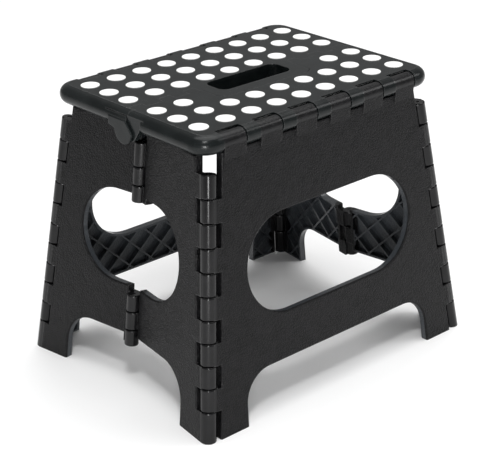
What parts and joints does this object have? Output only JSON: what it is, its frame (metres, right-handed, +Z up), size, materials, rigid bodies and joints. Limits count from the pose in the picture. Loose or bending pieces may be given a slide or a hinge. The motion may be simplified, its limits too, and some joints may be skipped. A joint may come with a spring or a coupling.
{
  "type": "folding step stool",
  "caption": "Low plastic step stool that folds flat: dotted split top, handle slot, and side panels joined by knuckle hinges.",
  "frame": {"origin": "centre of the footprint on the floor", "axes": "+X along the long side, +Y from the front panel to the back panel, +Z up"},
  "size_m": [0.3456, 0.273, 0.2805],
  "materials": {
    "panel": "fine leather-grained black plastic",
    "slab": "satin black plastic",
    "dots": "soft white grip rubber",
    "pins": "smooth black plastic"
  },
  "bodies": {
    "front_panel": {"front_panel": "panel", "left_front_corner_pin": "pins", "right_front_corner_pin": "pins", "front_top_pin": "pins"},
    "back_panel": {"back_panel": "panel", "left_back_corner_pin": "pins", "right_back_corner_pin": "pins", "back_top_pin": "pins"},
    "left_front_half": {"left_front_half_panel": "panel", "left_upper_end_pin": "pins", "left_lower_end_pin": "pins"},
    "left_back_half": {"left_back_half_panel": "panel"},
    "right_front_half": {"right_front_half_panel": "panel", "right_upper_end_pin": "pins", "right_lower_end_pin": "pins"},
    "right_back_half": {"right_back_half_panel": "panel"},
    "top_front": {"top_front_half": "slab", "front_grip_dots": "dots"},
    "top_back": {"top_back_half": "slab", "back_grip_dots": "dots"}
  },
  "joints": [
    {"name": "fold_right_front_corner", "type": "hinge", "parent": "front_panel", "child": "right_front_half", "pos_m": [0.1652, -0.1289, 0], "axis": [-0.1262, 0.1069, 0.9862], "range_deg": [0, 81]},
    {"name": "fold_right_end_middle", "type": "hinge", "parent": "right_front_half", "child": "right_back_half", "pos_m": [0.1562, 0, 0], "axis": [-0.1196, 0, 0.9928], "range_deg": [-160.7, 0]},
    {"name": "fold_right_back_corner", "type": "hinge", "parent": "right_back_half", "child": "back_panel", "pos_m": [0.1652, 0.1289, 0], "axis": [-0.1262, -0.1069, 0.9862], "range_deg": [0, 81.1]},
    {"name": "fold_left_front_corner", "type": "hinge", "parent": "front_panel", "child": "left_front_half", "pos_m": [-0.1652, -0.1289, 0], "axis": [0.1262, 0.1069, 0.9862], "range_deg": [-81, 0]},
    {"name": "fold_left_end_middle", "type": "hinge", "parent": "left_front_half", "child": "left_back_half", "pos_m": [-0.1562, 0, 0], "axis": [0.1196, 0, 0.9928], "range_deg": [0, 160.7]},
    {"name": "tilt_top_front", "type": "hinge", "parent": "front_panel", "child": "top_front", "pos_m": [0, -0.102, 0.271], "axis": [1, 0, 0], "range_deg": [0, 83]},
    {"name": "tilt_top_back", "type": "hinge", "parent": "back_panel", "child": "top_back", "pos_m": [0, 0.102, 0.271], "axis": [1, 0, 0], "range_deg": [-83, 0]}
  ],
  "couplings": [
    {"joint": "fold_right_end_middle", "follows": "fold_right_front_corner", "ratio": -1.9828},
    {"joint": "fold_right_back_corner", "follows": "fold_right_front_corner", "ratio": 1.0006},
    {"joint": "fold_left_front_corner", "follows": "fold_right_front_corner", "ratio": -1},
    {"joint": "fold_left_end_middle", "follows": "fold_right_front_corner", "ratio": 1.9828},
    {"joint": "tilt_top_front", "follows": "fold_right_front_corner", "ratio": 1.0245},
    {"joint": "tilt_top_back", "follows": "fold_right_front_corner", "ratio": -1.0245}
  ]
}
